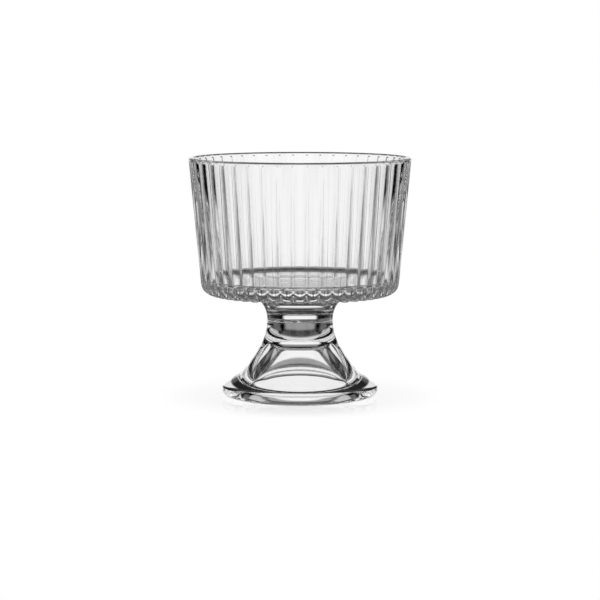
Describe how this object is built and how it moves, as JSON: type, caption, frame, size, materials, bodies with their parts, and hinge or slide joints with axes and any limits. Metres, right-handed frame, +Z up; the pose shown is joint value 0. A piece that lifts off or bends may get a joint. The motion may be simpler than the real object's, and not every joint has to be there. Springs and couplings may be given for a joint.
{
  "type": "footed dessert bowl",
  "caption": "Clear pressed-glass dessert bowl: a ribbed, tapering cup with a thick floor on a waisted neck and a flared, hollow foot.",
  "frame": {"origin": "middle of the ring that the foot stands on, in the plane of the table", "axes": "+Z up along the axis that the bowl is turned about; the crest of a rib points to -Y, which is the side the picture shows"},
  "size_m": [0.094, 0.094, 0.101],
  "materials": {
    "clear_glass": "clear pressed soda-lime glass, fire-polished"
  },
  "bodies": {
    "root": {"bowl": "clear_glass", "foot": "clear_glass"}
  },
  "joints": []
}
